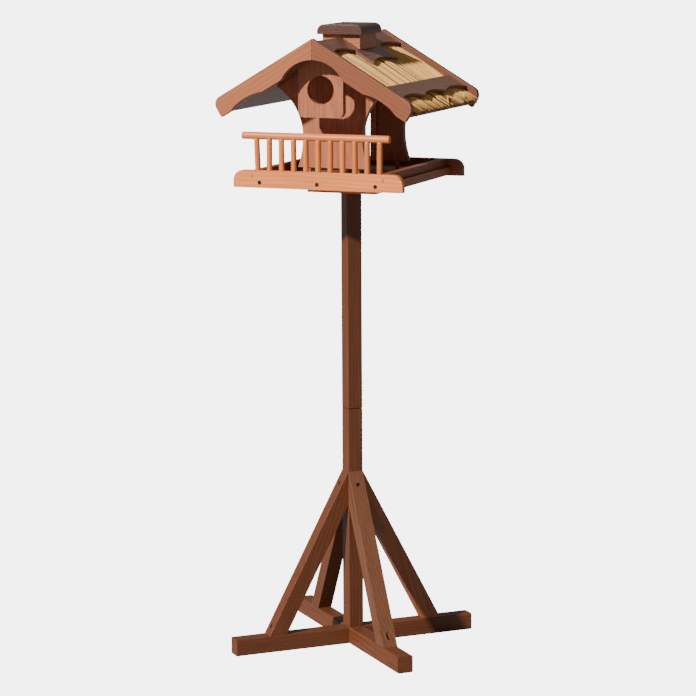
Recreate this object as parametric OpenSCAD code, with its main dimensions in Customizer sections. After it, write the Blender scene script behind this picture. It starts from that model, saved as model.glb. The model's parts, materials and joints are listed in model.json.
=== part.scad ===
// Bird feeder on a pole: a cross foot with four braces, a two-part pole, and a feeding house
// with a railed tray, shaped walls and a reed-thatched roof.
// Origin: on the ground under the pole's axis. The house's front faces -Y, and +Z is up.

/* [Stand] */
// Side of the square pole
pole_w = 38; // [34:1:46]
// Width of a foot beam
beam_w = 38; // [34:1:46]
// Height of a foot beam
beam_h = 40; // [34:1:50]
// Reach of a foot arm from the pole's axis
arm_l = 305; // [260:1:370]
// Turn of the foot cross against the house
stand_turn = 45; // [0:5:90]
// Height of the joint between the two pole parts
joint_z = 570; // [500:5:680]
// Reach of a brace's toe from the pole's axis
brace_reach = 221; // [185:1:240]
// Height of a brace's upper tip on the pole
brace_top = 419; // [350:1:470]
// Depth of a brace, square to its length
brace_d = 38; // [30:1:42]
// Width of a brace
brace_w = 36; // [28:1:38]
// Rounding along the edges of poles, beams and braces
edge_r = 3; // [1:0.5:5]

/* [Tray] */
// Height of the tray floor's underside
floor_z = 1110; // [900:5:1330]
// Thickness of the tray floor
floor_t = 18; // [15:1:20]
// Length of the tray's front and back boards
tray_w = 415; // [350:5:500]
// Depth of the tray over its front and back boards
tray_d = 414; // [345:3:498]
// Height of the front and back boards
board_h = 40; // [38:1:48]
// Thickness of the front and back boards
board_t = 16; // [14:1:20]
// How far the boards hang below the floor
board_drop = 3; // [0:1:4]
// Rounding of the boards' upper corners
board_r = 24; // [10:1:30]
// How far the boards reach past the floor at each side
floor_inset = 29.5; // [15:0.5:40]
// Thickness of a side rim
rim_t = 18; // [12:1:22]
// Ledge of the floor outside a side rim
ledge_w = 13; // [5:1:25]
// Length of the mounting plate
plate_w = 172; // [140:1:210]
// Depth of the mounting plate
plate_d = 123; // [100:1:150]
// Thickness of the mounting plate
plate_t = 25; // [18:1:30]

/* [Railing] */
// Diameter of the handrail
rail_d = 17.6; // [15:0.2:21]
// Length of the handrail
rail_l = 362; // [300:2:400]
// How far the handrail sits left of the balusters' middle
rail_shift = 6; // [0:1:10]
// Height of the handrail's axis above the boards' top
rail_rise = 79; // [60:1:100]
// Diameter of a baluster
baluster_d = 13.2; // [9:0.2:15]
// Distance between balusters
baluster_pitch = 30; // [24:0.5:34]
// Number of balusters
baluster_count = 11; // [11]
// Depth of a baluster's socket in the front board and in the handrail
socket_l = 8; // [4:1:8]

/* [Walls] */
// Thickness of a wall board
wall_t = 16; // [12:1:20]
// Gap between the tray floor and the walls' lower edges
wall_gap = 20; // [12:1:24]
// Set-back of the front wall's face from the tray's front
front_back = 95; // [80:1:120]
// Width of the front wall at its waist
front_waist = 147; // [120:1:176]
// Set-back of the rear wall's face from the tray's back
rear_back = 87; // [60:1:105]
// Width over both rear boards at the waist
rear_waist = 181.6; // [150:0.2:215]
// Width of the slot between the rear boards
slot_w = 19.6; // [16:0.2:40]
// Height of the waist above the tray floor
waist_rise = 90; // [75:1:105]
// Radius of the wall outline above the waist
flare_up_r = 133; // [115:1:160]
// Radius of the wall outline below the waist
flare_down_r = 195; // [160:1:240]
// Width of a slot batten
batten_w = 13.7; // [10:0.1:18]
// Thickness of a slot batten
batten_t = 6; // [4:0.5:9]
// Width of the gable plaque
plaque_w = 110; // [96:1:130]
// Height of the plaque's lower edge above the tray floor
plaque_rise = 141; // [125:1:160]
// Height of the plaque's hole above the tray floor
hole_rise = 204; // [195:1:215]
// Diameter of the plaque's hole
hole_d = 65; // [45:1:68]
// Rounding of the plaque's lower corners
plaque_r = 14; // [6:1:20]
// Set-back of the plaque behind the roof's front
plaque_back = 52; // [35:1:62]

/* [Roof] */
// Height of the ridge above the tray floor's top
ridge_rise = 322.6; // [300:0.2:345]
// Pitch of the roof
pitch = 30.5; // [27:0.5:34]
// Length of a slope along its bargeboard
slope_l = 286; // [260:1:320]
// Depth of the roof over its bargeboards
roof_d = 456.6; // [400:0.2:520]
// How far the roof's middle stands in front of the pole's axis
roof_lead = 5.7; // [0:0.1:10]
// Depth of a bargeboard, square to the slope
barge_h = 43; // [40:1:50]
// Thickness of a bargeboard
barge_t = 16; // [12:1:20]
// Rounding of a bargeboard's outer end
barge_r = 20; // [8:1:26]
// Radius of the arch cut under the ridge
arch_r = 84; // [70:1:90]
// Height of solid wood above the arch
arch_crown = 48.6; // [45:0.2:60]
// Distance from the ridge to the middle of the eave scallop
scallop_u = 214; // [205:1:225]
// Half the width of the eave scallop
scallop_w = 46; // [30:1:50]
// Depth of the eave scallop
scallop_h = 8.5; // [5:0.5:12]
// How far the bargeboards stand above the ridge boards
barge_proud = 5.5; // [3:0.5:8]
// Thickness of a roof panel under the reed
panel_t = 7.5; // [6:0.5:9]
// Thickness of the reed
reed_t = 13; // [10:1:15]
// How far the reed reaches past the bargeboards' ends
reed_past = 8; // [2:1:20]
// Thickness of the ridge boards and eave battens
trim_t = 8; // [6:0.5:10]
// Width of a ridge board at its cusps
ridge_board_w = 57; // [50:1:66]
// Width of a ridge board at its middle tongue
tongue_w = 110; // [95:1:122]
// Length of the middle tongue
tongue_l = 155; // [140:1:170]
// Distance from the ridge to an eave batten's upper edge
eave_u = 199; // [190:1:206]
// Width of an eave batten at its cusps
eave_w = 51; // [40:1:60]

/* [Chimney] */
// Width of the chimney block
chimney_w = 93; // [75:1:110]
// Depth of the chimney block
chimney_d = 101.5; // [85:0.5:120]
// Height of the chimney block's top above the ridge
chimney_rise = 0.4; // [-1:0.2:20]
// Thickness of the chimney cap
cap_t = 23; // [19:1:30]
// Overhang of the cap at the sides
cap_over_x = 9; // [4:1:16]
// Overhang of the cap at the front and back
cap_over_y = 13; // [4:1:20]
// Rounding of the cap's long upper edges
cap_r = 17; // [6:1:18]

/* [Fasteners and clearances] */
// Gap between the turning plate and the pole's end
swivel_gap = 0.3; // [0.2:0.1:1]
// Diameter of the swivel screw's shank
swivel_d = 8; // [6:1:10]
// Radial clearance round the swivel screw in the plate and floor
swivel_clear = 0.5; // [0.3:0.1:1]
// Diameter of the stud in the pole joint
stud_d = 10; // [8:1:12]
// Shank diameter of the wood screws
screw_d = 4.5; // [3.5:0.5:6]
// Head diameter of the wood screws
head_d = 8.5; // [7:0.5:10]
// Radial gap round screws, studs and pegs in their holes
fit_gap = 0.1; // [0.05:0.05:0.3]

/* [Hidden] */
$fn = 64;
floor_top = floor_z + floor_t;
board_z = floor_z - board_drop;
board_top = board_z + board_h;
pole_top = floor_z - plate_t - swivel_gap;
floor_w = tray_w - 2 * floor_inset;
bay_d = tray_d - 2 * board_t;
rim_h = board_top - floor_top;
rim_x = floor_w / 2 - ledge_w - rim_t / 2;
rail_y = -tray_d / 2 + board_t / 2;
rail_z = board_top + rail_rise;
front_y = -tray_d / 2 + front_back;
rear_y = tray_d / 2 - rear_back - wall_t;
wall_z = floor_top + wall_gap;
waist_z = floor_top + waist_rise;
ridge_z = floor_top + ridge_rise;
roof_y0 = -roof_lead - roof_d / 2;
roof_y1 = roof_y0 + roof_d;
span_y0 = roof_y0 + barge_t;
span_l = roof_d - 2 * barge_t;
trim_top = -barge_proud;
reed_top = trim_top - trim_t;
panel_top = reed_top - reed_t;
panel_low = panel_top - panel_t;
under_z = ridge_z + panel_low / cos(pitch);
plaque_y = roof_y0 + plaque_back;
gable_half = 170;
cap_z = ridge_z + chimney_rise;
// Levels and lengths of the screws
head_t = 3.2;
hole_r = screw_d / 2 + fit_gap;
sink_r = head_d / 2 + 0.5;
brace_screw_z = brace_top - 30;
brace_seat_x = pole_w / 2 + 9;
brace_screw_l = pole_w / 2 + 5;
toe_rise = 24;
toe_seat = 14;
toe_screw_l = toe_seat + beam_h * 0.6;
brace_lean = (brace_reach - pole_w / 2) / (brace_top - beam_h);
toe_x = brace_reach - toe_rise * brace_lean;
foot_head_r = 5.5;
foot_head_t = 4;
foot_shank_r = 3;
foot_sink = 8;
foot_screw_xy = pole_w / 2 - 10;
foot_screw_l = beam_h - foot_sink + 60;
stud_down = 45;
stud_up = 55;
insert_r = stud_d / 2 + 3;
insert_l = 30;
swivel_l = floor_t + plate_t + 60;
washer_r = 12;
washer_t = 1.6;
hex_r = 7.5;
hex_t = 5.5;
plate_screw_l = 36;
plate_screw_x = plate_w / 2 - 22;
plate_screw_y = plate_d / 2 - 20;
board_screw_l = 42;
board_screw_sink = 3;
board_screw_xs = [-142, 0, 142];
wall_screw_l = floor_t + wall_gap + 22;
front_screw_x = front_waist / 2 - 13.5;
rear_screw_x0 = slot_w / 2 + 22;
rear_screw_x1 = rear_waist / 2 - 18;
peg_r = 5;
staple_h = rim_h - socket_l - 2;
staple_w = 1.6;
staple_l = 24;
nail_r = 1.2;
nail_head_r = 2.4;
nail_head_t = 1;
roof_nail_l = panel_t + 22;
roof_nail_u = 52;
trim_nail_l = trim_t + reed_t + panel_t - 2;
scallop_r = (scallop_w * scallop_w + scallop_h * scallop_h) / (2 * scallop_h);
BALUSTER_NODES = [for (i = [1:baluster_count]) str("baluster_", i < 10 ? "0" : "", i)];

WOOD_STAND = [0.50, 0.30, 0.20];
WOOD_HOUSE = [0.78, 0.50, 0.38];
WOOD_WALL = [0.66, 0.42, 0.30];
WOOD_TRIM = [0.52, 0.40, 0.36];
REED = [0.86, 0.74, 0.52];
STEEL = [0.62, 0.62, 0.62];

// ---- Helpers ----

// Rectangle with rounded corners, centred
module rounded_rect(w, h, r) {
    square([w - 2 * r, h], center = true);
    square([w, h - 2 * r], center = true);
    for (sx = [-1, 1], sy = [-1, 1])
        translate([sx * (w / 2 - r), sy * (h / 2 - r)]) circle(r);
}

// Upper half of a disc
module upper_half_disc(r) {
    intersection() {
        circle(r);
        translate([-r, 0]) square([2 * r, r]);
    }
}

// Turns what follows from the house's frame to the foot cross's frame
module on_cross(turn = 0) {
    rotate([0, 0, stand_turn + turn]) children();
}

// Places what follows at each of the four arms
module each_arm() {
    for (turn = [0, 90, 180, 270]) on_cross(turn) children();
}

// Extrudes an outline drawn in X and Z backwards from y0
module wall_extrude(y0, t) {
    translate([0, y0 + t, 0]) rotate([90, 0, 0]) linear_extrude(t) children();
}

// Screw along -Z with its head's top at the origin
module wood_screw(l) {
    translate([0, 0, -head_t]) cylinder(h = head_t, r = head_d / 2);
    translate([0, 0, -l]) cylinder(h = l - head_t, r = screw_d / 2);
}

// Hole for wood_screw(l), with its counterbore opening upwards
module screw_hole(l, sink) {
    translate([0, 0, -head_t]) cylinder(h = head_t + sink, r = sink_r);
    translate([0, 0, -l - fit_gap]) cylinder(h = l + fit_gap, r = hole_r);
}

// Nail along -Z with its head's top at the origin
module nail(l) {
    translate([0, 0, -nail_head_t]) cylinder(h = nail_head_t, r = nail_head_r);
    translate([0, 0, -l]) cylinder(h = l - nail_head_t, r = nail_r);
}

// Hole that a nail fills
module nail_hole(l) {
    translate([0, 0, -nail_head_t]) cylinder(h = nail_head_t + 1, r = nail_head_r + fit_gap);
    translate([0, 0, -l - fit_gap]) cylinder(h = l, r = nail_r + fit_gap);
}

// ---- Stand ----

module beam_bar() {
    translate([0, 0, beam_h / 2]) rotate([0, 90, 0])
        linear_extrude(2 * arm_l, center = true) rounded_rect(beam_h, beam_w, edge_r);
}

// Places what follows at each foot screw
module each_foot_screw() {
    for (s = [-1, 1]) on_cross() translate([s * foot_screw_xy, s * foot_screw_xy, 0]) children();
}

module foot_screw_holes() {
    each_foot_screw() {
        translate([0, 0, -1]) cylinder(h = foot_sink + 1, r = foot_head_r + 0.5);
        cylinder(h = foot_sink + foot_screw_l + fit_gap, r = foot_shank_r + fit_gap);
    }
}

module toe_screw_at() {
    translate([toe_x, 0, beam_h + toe_seat + head_t]) children();
}

module brace_screw_at() {
    translate([brace_seat_x + head_t, 0, brace_screw_z]) rotate([0, 90, 0]) children();
}

module beam(lap_z, turn) {
    color(WOOD_STAND) difference() {
        on_cross(turn) beam_bar();
        on_cross(turn) translate([0, 0, lap_z + beam_h / 4])
            cube([beam_w, beam_w + 2, beam_h / 2], center = true);
        foot_screw_holes();
        each_arm() toe_screw_at() screw_hole(toe_screw_l + head_t, 1);
    }
}

module foot_beam_long() {
    beam(0, 90);
}

module foot_beam_cross() {
    beam(beam_h / 2, 0);
}

module foot_screws() {
    color(STEEL) each_foot_screw() {
        translate([0, 0, foot_sink - foot_head_t]) cylinder(h = foot_head_t, r = foot_head_r);
        translate([0, 0, foot_sink]) cylinder(h = foot_screw_l, r = foot_shank_r);
    }
}

module pole_bar(z0, z1) {
    on_cross() translate([0, 0, z0]) linear_extrude(z1 - z0) rounded_rect(pole_w, pole_w, edge_r);
}

module lower_pole() {
    color(WOOD_STAND) difference() {
        pole_bar(beam_h, joint_z);
        foot_screw_holes();
        translate([0, 0, joint_z - insert_l]) cylinder(h = insert_l + 1, r = insert_r + fit_gap);
        translate([0, 0, joint_z - stud_down]) cylinder(h = stud_down, r = stud_d / 2 + fit_gap);
        each_arm() brace_screw_at() screw_hole(brace_screw_l + head_t, 1);
    }
}

module pole_insert() {
    color(STEEL) difference() {
        translate([0, 0, joint_z - insert_l]) cylinder(h = insert_l, r = insert_r);
        translate([0, 0, joint_z - insert_l - 1]) cylinder(h = insert_l + 2, r = stud_d / 2 + fit_gap);
    }
}

module pole_stud() {
    color(STEEL) translate([0, 0, joint_z - stud_down + 1])
        cylinder(h = stud_down + stud_up - 2, r = stud_d / 2);
}

module upper_pole() {
    color(WOOD_STAND) difference() {
        pole_bar(joint_z, pole_top);
        translate([0, 0, joint_z - 1]) cylinder(h = stud_up + 1, r = stud_d / 2 + fit_gap);
        translate([0, 0, floor_top - swivel_l]) cylinder(h = swivel_l, r = swivel_d / 2 + fit_gap);
    }
}

module brace_outline() {
    foot_l = brace_d / cos(atan(brace_lean));
    inner_x = brace_reach - foot_l;
    polygon([
        [pole_w / 2, brace_top],
        [brace_reach, beam_h],
        [inner_x, beam_h],
        [pole_w / 2, beam_h + (inner_x - pole_w / 2) / brace_lean]]);
}

module brace(turn) {
    color(WOOD_STAND) on_cross(turn) difference() {
        wall_extrude(-brace_w / 2, brace_w) brace_outline();
        brace_screw_at() screw_hole(brace_screw_l + head_t, 40);
        toe_screw_at() screw_hole(toe_screw_l + head_t, 40);
    }
}

module brace_front() {
    brace(-90);
}

module brace_right() {
    brace(0);
}

module brace_back() {
    brace(90);
}

module brace_left() {
    brace(180);
}

module brace_screws() {
    color(STEEL) each_arm() {
        brace_screw_at() wood_screw(brace_screw_l + head_t);
        toe_screw_at() wood_screw(toe_screw_l + head_t);
    }
}

// ---- Swivel ----

module swivel_screw() {
    color(STEEL) {
        translate([0, 0, floor_top + swivel_gap + washer_t])
            cylinder(h = hex_t, r = hex_r, $fn = 6);
        translate([0, 0, floor_top - swivel_l + 1])
            cylinder(h = swivel_l - 1 + swivel_gap + washer_t, r = swivel_d / 2);
    }
}

module swivel_washer() {
    color(STEEL) translate([0, 0, floor_top + swivel_gap]) difference() {
        cylinder(h = washer_t, r = washer_r);
        translate([0, 0, -1]) cylinder(h = washer_t + 2, r = swivel_d / 2 + fit_gap);
    }
}

module swivel_bore() {
    translate([0, 0, floor_z - plate_t - 1])
        cylinder(h = plate_t + floor_t + 2, r = swivel_d / 2 + swivel_clear);
}

// ---- Tray ----

// Places what follows at each plate screw, pointing up from the plate's underside
module each_plate_screw() {
    for (sx = [-1, 1], sy = [-1, 1])
        translate([sx * plate_screw_x, sy * plate_screw_y, floor_z - plate_t])
            rotate([180, 0, 0]) children();
}

// Places what follows at each board screw, pointing into the floor's edge
module each_board_screw() {
    for (sy = [-1, 1], x = board_screw_xs)
        translate([x, sy * (tray_d / 2 - board_screw_sink), floor_z + floor_t / 2])
            rotate([-sy * 90, 0, 0]) children();
}

// Places what follows at each wall screw, pointing up from the floor's underside
module each_wall_screw() {
    for (x = [-1, 1] * front_screw_x) translate([x, front_y + wall_t / 2, floor_z])
        rotate([180, 0, 0]) children();
    for (side = [-1, 1], x = [rear_screw_x0, rear_screw_x1])
        translate([side * x, rear_y + wall_t / 2, floor_z]) rotate([180, 0, 0]) children();
}

module mount_plate() {
    color(WOOD_HOUSE) difference() {
        translate([0, 0, floor_z - plate_t]) linear_extrude(plate_t)
            rounded_rect(plate_w, plate_d, edge_r);
        swivel_bore();
        each_plate_screw() screw_hole(plate_screw_l, 1);
    }
}

module plate_screws() {
    color(STEEL) each_plate_screw() wood_screw(plate_screw_l);
}

module tray_floor() {
    color(WOOD_HOUSE) difference() {
        translate([-floor_w / 2, -bay_d / 2, floor_z]) cube([floor_w, bay_d, floor_t]);
        swivel_bore();
        each_plate_screw() screw_hole(plate_screw_l, 0);
        each_board_screw() screw_hole(board_screw_l, 1);
        each_wall_screw() screw_hole(wall_screw_l, 1);
    }
}

module tray_board_outline() {
    half = tray_w / 2;
    translate([-half, board_z]) square([tray_w, board_h - board_r]);
    translate([-half + board_r, board_z]) square([tray_w - 2 * board_r, board_h]);
    for (sx = [-1, 1]) translate([sx * (half - board_r), board_top - board_r]) upper_half_disc(board_r);
}

module staple() {
    translate([-staple_w / 2, -0.4, -staple_h / 2]) cube([staple_w, 0.8, staple_h]);
    for (sz = [-1, 1]) translate([-staple_w / 2, 0, sz * (staple_h - staple_w) / 2 - staple_w / 2])
        cube([staple_w, staple_l, staple_w]);
}

// Places what follows at each staple, which joins a rim to a board
module each_staple() {
    for (sx = [-1, 1]) translate([sx * (rim_x + rim_t / 4), 0, floor_top + staple_h / 2 + 1]) {
        translate([0, -tray_d / 2 + 0.4, 0]) children();
        rotate([0, 0, 180]) translate([0, -tray_d / 2 + 0.4, 0]) children();
    }
}

module baluster_at(i) {
    translate([(i - (baluster_count - 1) / 2) * baluster_pitch, rail_y, board_top - socket_l])
        children();
}

module baluster_sockets() {
    for (i = [0:baluster_count - 1]) baluster_at(i)
        cylinder(h = rail_rise + socket_l, r = baluster_d / 2 + fit_gap);
}

module tray_front_board() {
    color(WOOD_HOUSE) difference() {
        wall_extrude(-tray_d / 2, board_t) tray_board_outline();
        each_board_screw() screw_hole(board_screw_l, board_screw_sink + 1);
        each_staple() staple();
        baluster_sockets();
    }
}

module tray_back_board() {
    color(WOOD_HOUSE) difference() {
        wall_extrude(tray_d / 2 - board_t, board_t) tray_board_outline();
        each_board_screw() screw_hole(board_screw_l, board_screw_sink + 1);
        each_staple() staple();
    }
}

module tray_screws() {
    color(STEEL) each_board_screw() wood_screw(board_screw_l);
}

module rim_staples() {
    color(STEEL) each_staple() staple();
}

module tray_rim(side) {
    color(WOOD_HOUSE) difference() {
        translate([side * rim_x - rim_t / 2, -bay_d / 2, floor_top]) cube([rim_t, bay_d, rim_h]);
        each_staple() staple();
    }
}

module tray_rim_left() {
    tray_rim(-1);
}

module tray_rim_right() {
    tray_rim(1);
}

module handrail() {
    color(WOOD_HOUSE) difference() {
        translate([-rail_l / 2 - rail_shift, rail_y, rail_z]) rotate([0, 90, 0]) cylinder(h = rail_l, r = rail_d / 2);
        baluster_sockets();
    }
}

module baluster(i) {
    color(WOOD_HOUSE) baluster_at(i) cylinder(h = rail_rise + socket_l, r = baluster_d / 2);
}

// ---- Walls ----

// Gable shape from z0 up to the underside of the roof panels
module gable_outline(x0, x1, z0) {
    eave_z = under_z - gable_half * tan(pitch);
    intersection() {
        polygon([
            [-gable_half, z0],
            [gable_half, z0],
            [gable_half, eave_z],
            [0, under_z],
            [-gable_half, eave_z]]);
        translate([x0, z0]) square([x1 - x0, under_z - z0]);
    }
}

// What the hourglass curve takes off the +X side of a wall that is `half` wide at its waist
module waist_cut(half) {
    intersection() {
        translate([half + flare_up_r, waist_z]) circle(flare_up_r, $fn = 128);
        translate([0, waist_z]) square(2 * flare_up_r);
    }
    intersection() {
        translate([half + flare_down_r, waist_z]) circle(flare_down_r, $fn = 128);
        translate([0, waist_z - waist_rise - 1]) square([2 * flare_down_r, waist_rise + 1.01]);
    }
}

module front_wall() {
    color(WOOD_WALL) difference() {
        wall_extrude(front_y, wall_t) difference() {
            gable_outline(-gable_half, gable_half, wall_z);
            for (m = [0, 1]) mirror([m, 0]) waist_cut(front_waist / 2);
        }
        each_wall_screw() screw_hole(wall_screw_l, 0);
        each_roof_nail() nail_hole(roof_nail_l);
    }
}

module rear_wall(m) {
    color(WOOD_WALL) difference() {
        mirror([m, 0, 0]) wall_extrude(rear_y, wall_t) difference() {
            gable_outline(slot_w / 2, gable_half, wall_z);
            waist_cut(rear_waist / 2);
        }
        each_wall_screw() screw_hole(wall_screw_l, 0);
        each_roof_nail() nail_hole(roof_nail_l);
    }
}

module rear_wall_left() {
    rear_wall(1);
}

module rear_wall_right() {
    rear_wall(0);
}

module rear_batten(m) {
    color(WOOD_WALL) mirror([m, 0, 0]) wall_extrude(rear_y - batten_t, batten_t)
        gable_outline(slot_w / 2, slot_w / 2 + batten_w, wall_z);
}

module rear_batten_left() {
    rear_batten(1);
}

module rear_batten_right() {
    rear_batten(0);
}

// Round spacers that hold the walls clear of the floor
module wall_pegs() {
    color(WOOD_WALL) difference() {
        each_wall_screw() translate([0, 0, -floor_t - wall_gap]) cylinder(h = wall_gap, r = peg_r);
        each_wall_screw() screw_hole(wall_screw_l, 0);
    }
}

module wall_screws() {
    color(STEEL) each_wall_screw() wood_screw(wall_screw_l);
}

module gable_plaque() {
    half = plaque_w / 2;
    low = floor_top + plaque_rise;
    color(WOOD_WALL) difference() {
        wall_extrude(plaque_y, wall_t) difference() {
            union() {
                gable_outline(-half, half, low + plaque_r);
                translate([-half + plaque_r, low]) square([plaque_w - 2 * plaque_r, 2 * plaque_r]);
                for (sx = [-1, 1]) translate([sx * (half - plaque_r), low + plaque_r]) circle(plaque_r);
            }
            translate([0, floor_top + hole_rise]) circle(hole_d / 2);
        }
        each_roof_nail() nail_hole(roof_nail_l);
    }
}

// ---- Roof ----

// Puts what follows on a slope: X runs down the slope from the ridge, and Z stands out of it
module on_slope(m) {
    mirror([m, 0, 0]) translate([0, 0, ridge_z]) rotate([0, pitch, 0]) children();
}

// Keeps what lies on one side of the ridge
module half_of(m) {
    intersection() {
        children();
        mirror([m, 0, 0]) translate([0, roof_y0 - 1, floor_top]) cube([2 * slope_l, roof_d + 2, 2 * ridge_rise]);
    }
}

// Flat layer of a slope between two levels, mitred at the ridge
module slope_layer(m, u1, low, high) {
    half_of(m) on_slope(m) translate([-barge_h, span_y0, low]) cube([u1 + barge_h, span_l, high - low]);
}

// Places what follows at each nail through a panel into a wall or the plaque
module each_roof_nail() {
    for (m = [0, 1], y = [front_y + wall_t / 2, rear_y + wall_t / 2, plaque_y + wall_t / 2])
        on_slope(m) translate([roof_nail_u, y, panel_top]) children();
}

function trim_nail_y(k) = -roof_lead + k * span_l * 0.42;

// Places what follows at each nail through a ridge board or eave batten
module each_trim_nail() {
    for (m = [0, 1], k = [-1, 0, 1]) {
        on_slope(m) translate([ridge_board_w / 2, trim_nail_y(k), trim_top]) children();
        on_slope(m) translate([eave_u + 16, trim_nail_y(k), trim_top]) children();
    }
}

module bargeboard_outline(m) {
    intersection() {
        mirror([m, 0]) translate([0, ridge_z]) rotate(-pitch) difference() {
            union() {
                translate([-barge_h, -barge_h]) square([slope_l + barge_h - barge_r, barge_h]);
                translate([0, -barge_h]) square([slope_l, barge_h - barge_r]);
                translate([slope_l - barge_r, -barge_r]) circle(barge_r);
            }
            translate([scallop_u, scallop_h - barge_h - scallop_r]) circle(scallop_r, $fn = 128);
        }
        mirror([m, 0]) translate([0, floor_top]) square(2 * ridge_rise);
    }
}

module bargeboard(m, y0) {
    color(WOOD_HOUSE) wall_extrude(y0, barge_t) difference() {
        bargeboard_outline(m);
        translate([0, ridge_z - arch_crown - arch_r]) circle(arch_r, $fn = 128);
    }
}

module bargeboard_front_left() {
    bargeboard(1, roof_y0);
}

module bargeboard_front_right() {
    bargeboard(0, roof_y0);
}

module bargeboard_back_left() {
    bargeboard(1, roof_y1 - barge_t);
}

module bargeboard_back_right() {
    bargeboard(0, roof_y1 - barge_t);
}

module roof_panel(m) {
    color(WOOD_TRIM) difference() {
        slope_layer(m, slope_l - 2, panel_low, panel_top);
        each_roof_nail() nail_hole(roof_nail_l);
        each_trim_nail() nail_hole(trim_nail_l);
    }
}

module roof_panel_left() {
    roof_panel(1);
}

module roof_panel_right() {
    roof_panel(0);
}

module thatch(m) {
    color(REED) difference() {
        slope_layer(m, slope_l + reed_past, panel_top, reed_top);
        each_trim_nail() nail_hole(trim_nail_l);
        each_roof_nail() cylinder(h = 0.6, r = nail_head_r + fit_gap, center = true);
    }
}

module thatch_left() {
    thatch(1);
}

module thatch_right() {
    thatch(0);
}

// Circle segment that scoops `rise` out of an edge at u, over the stretch y0 to y0 + l
module scoop(u, y0, l, rise) {
    r = (l * l / 4 + rise * rise) / (2 * rise);
    translate([u - rise + r, y0 + l / 2]) circle(r, $fn = 128);
}

module ridge_board_outline() {
    wing = (span_l - tongue_l) / 2;
    tongue_y = span_y0 + wing;
    scoop_h = 15;
    difference() {
        union() {
            translate([-barge_h, span_y0]) square([ridge_board_w + barge_h, span_l]);
            translate([0, tongue_y]) square([tongue_w, tongue_l]);
        }
        for (y = [span_y0, tongue_y + tongue_l]) intersection() {
            scoop(ridge_board_w, y, wing, scoop_h);
            translate([0, y]) square([tongue_w, wing]);
        }
        scoop(tongue_w, tongue_y, tongue_l, scoop_h);
    }
}

module ridge_board(m) {
    color(WOOD_TRIM) difference() {
        half_of(m) on_slope(m) translate([0, 0, reed_top]) linear_extrude(trim_t) ridge_board_outline();
        each_trim_nail() nail_hole(trim_nail_l);
    }
}

module ridge_board_left() {
    ridge_board(1);
}

module ridge_board_right() {
    ridge_board(0);
}

module eave_batten(m) {
    scoops = 3;
    scoop_l = span_l / scoops;
    color(WOOD_TRIM) difference() {
        on_slope(m) translate([0, 0, reed_top]) linear_extrude(trim_t) difference() {
            translate([eave_u, span_y0]) square([eave_w, span_l]);
            for (i = [0:scoops - 1]) scoop(eave_u + eave_w, span_y0 + i * scoop_l, scoop_l, 13);
        }
        each_trim_nail() nail_hole(trim_nail_l);
    }
}

module eave_batten_left() {
    eave_batten(1);
}

module eave_batten_right() {
    eave_batten(0);
}

module roof_nails() {
    color(STEEL) {
        each_roof_nail() nail(roof_nail_l);
        each_trim_nail() nail(trim_nail_l);
    }
}

// ---- Chimney ----

module chimney_block() {
    eave_drop = chimney_w * tan(pitch);
    seat_z = ridge_z + trim_top / cos(pitch);
    color(WOOD_HOUSE) wall_extrude(-roof_lead - chimney_d / 2, chimney_d) difference() {
        polygon([
            [-chimney_w / 2, cap_z],
            [-chimney_w / 2, cap_z - eave_drop],
            [chimney_w / 2, cap_z - eave_drop],
            [chimney_w / 2, cap_z]]);
        polygon([
            [0, seat_z],
            [chimney_w, seat_z - eave_drop],
            [chimney_w, seat_z - 2 * eave_drop],
            [-chimney_w, seat_z - 2 * eave_drop],
            [-chimney_w, seat_z - eave_drop]]);
    }
}

module chimney_cap() {
    cap_w = chimney_w + 2 * cap_over_x;
    cap_d = chimney_d + 2 * cap_over_y;
    color(WOOD_TRIM) wall_extrude(-roof_lead - cap_d / 2, cap_d) {
        translate([-cap_w / 2, cap_z]) square([cap_w, cap_t - cap_r]);
        translate([-cap_w / 2 + cap_r, cap_z]) square([cap_w - 2 * cap_r, cap_t]);
        for (sx = [-1, 1]) translate([sx * (cap_w / 2 - cap_r), cap_z + cap_t - cap_r])
            upper_half_disc(cap_r);
    }
}

foot_beam_long();
foot_beam_cross();
foot_screws();
lower_pole();
pole_insert();
pole_stud();
upper_pole();
brace_front();
brace_right();
brace_back();
brace_left();
brace_screws();
swivel_screw();
swivel_washer();
mount_plate();
plate_screws();
tray_floor();
tray_front_board();
tray_back_board();
tray_rim_left();
tray_rim_right();
tray_screws();
rim_staples();
handrail();
for (i = [0:baluster_count - 1]) baluster(i);
front_wall();
rear_wall_left();
rear_wall_right();
rear_batten_left();
rear_batten_right();
wall_pegs();
wall_screws();
gable_plaque();
bargeboard_front_left();
bargeboard_front_right();
bargeboard_back_left();
bargeboard_back_right();
roof_panel_left();
roof_panel_right();
thatch_left();
thatch_right();
ridge_board_left();
ridge_board_right();
eave_batten_left();
eave_batten_right();
roof_nails();
chimney_block();
chimney_cap();
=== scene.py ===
"""Visual scene of a bird feeder on a pole: glazed softwood, dry reed and zinc-plated screws."""

import json
import logging
import math
import random
from collections.abc import Iterable
from dataclasses import dataclass, field
from enum import Enum

import bmesh
import bpy
from mathutils import Matrix, Vector, noise

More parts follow.
